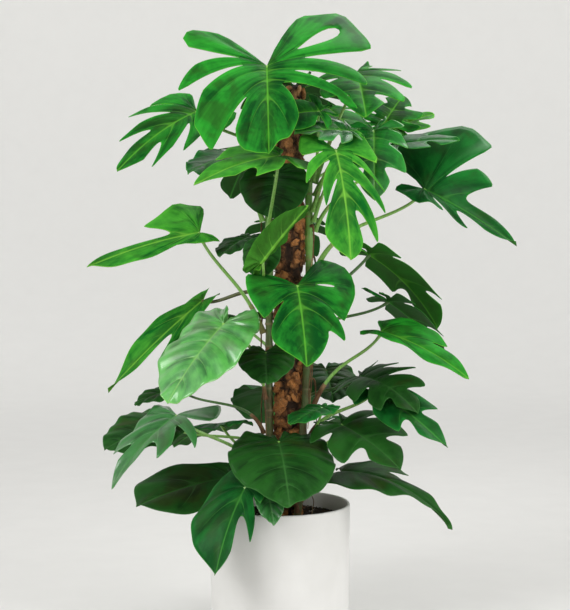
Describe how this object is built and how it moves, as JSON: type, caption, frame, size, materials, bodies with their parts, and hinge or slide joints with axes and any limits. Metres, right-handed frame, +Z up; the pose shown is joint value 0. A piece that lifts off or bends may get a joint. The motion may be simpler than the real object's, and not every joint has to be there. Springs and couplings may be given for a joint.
{
  "type": "potted plant",
  "caption": "Tall split-leaf climbing houseplant on a coir pole in a plain round satin planter, standing on the floor.",
  "frame": {"origin": "centre of the planter's underside, on the floor", "axes": "+Z up, the pole's direction; -Y is the front, +X is the viewer's right from the front"},
  "size_m": [0.8091, 0.5895, 1.2442],
  "materials": {
    "pot": "satin glaze",
    "soil": "loose damp potting mix",
    "coir": "rough fibre",
    "stem": "smooth, ringed",
    "leaf": "waxy gloss"
  },
  "bodies": {
    "root": {"pot": "pot", "soil": "soil", "coir_pole": "coir", "stem_left": "stem", "stem_right": "stem", "stem_back": "stem", "leaf_crown": "leaf", "leaf_right_behind": "leaf", "leaf_upper_left": "leaf", "leaf_finger": "leaf", "leaf_upright": "leaf", "leaf_far_right": "leaf", "leaf_right_back": "leaf", "leaf_hanging": "leaf", "leaf_glossy": "leaf", "leaf_light": "leaf", "leaf_middle": "leaf", "leaf_cluster": "leaf", "leaf_cluster_back": "leaf", "leaf_behind_upright": "leaf", "leaf_shade": "leaf", "leaf_left": "leaf", "leaf_small_dark": "leaf", "leaf_heart_dark": "leaf", "leaf_young": "leaf", "leaf_centre": "leaf", "leaf_glossy_heart": "leaf", "leaf_left_edge": "leaf", "leaf_right_dark": "leaf", "leaf_right_dark_low": "leaf", "leaf_right_light": "leaf", "leaf_small_centre": "leaf", "leaf_front_heart": "leaf", "leaf_front_small": "leaf", "leaf_lobed": "leaf", "leaf_left_small": "leaf", "leaf_far_left": "leaf", "leaf_low_left": "leaf", "leaf_pot_front": "leaf", "leaf_pot_small": "leaf", "leaf_lower_right": "leaf", "leaf_lower_right_slim": "leaf", "leaf_round": "leaf", "leaf_right_wide": "leaf", "leaf_tail": "leaf", "leaf_back_top": "leaf", "leaf_back_left_high": "leaf", "leaf_back_middle": "leaf", "leaf_back_left_middle": "leaf", "leaf_back_low": "leaf", "leaf_back_low_right": "leaf", "leaf_back_low_left": "leaf"}
  },
  "joints": []
}
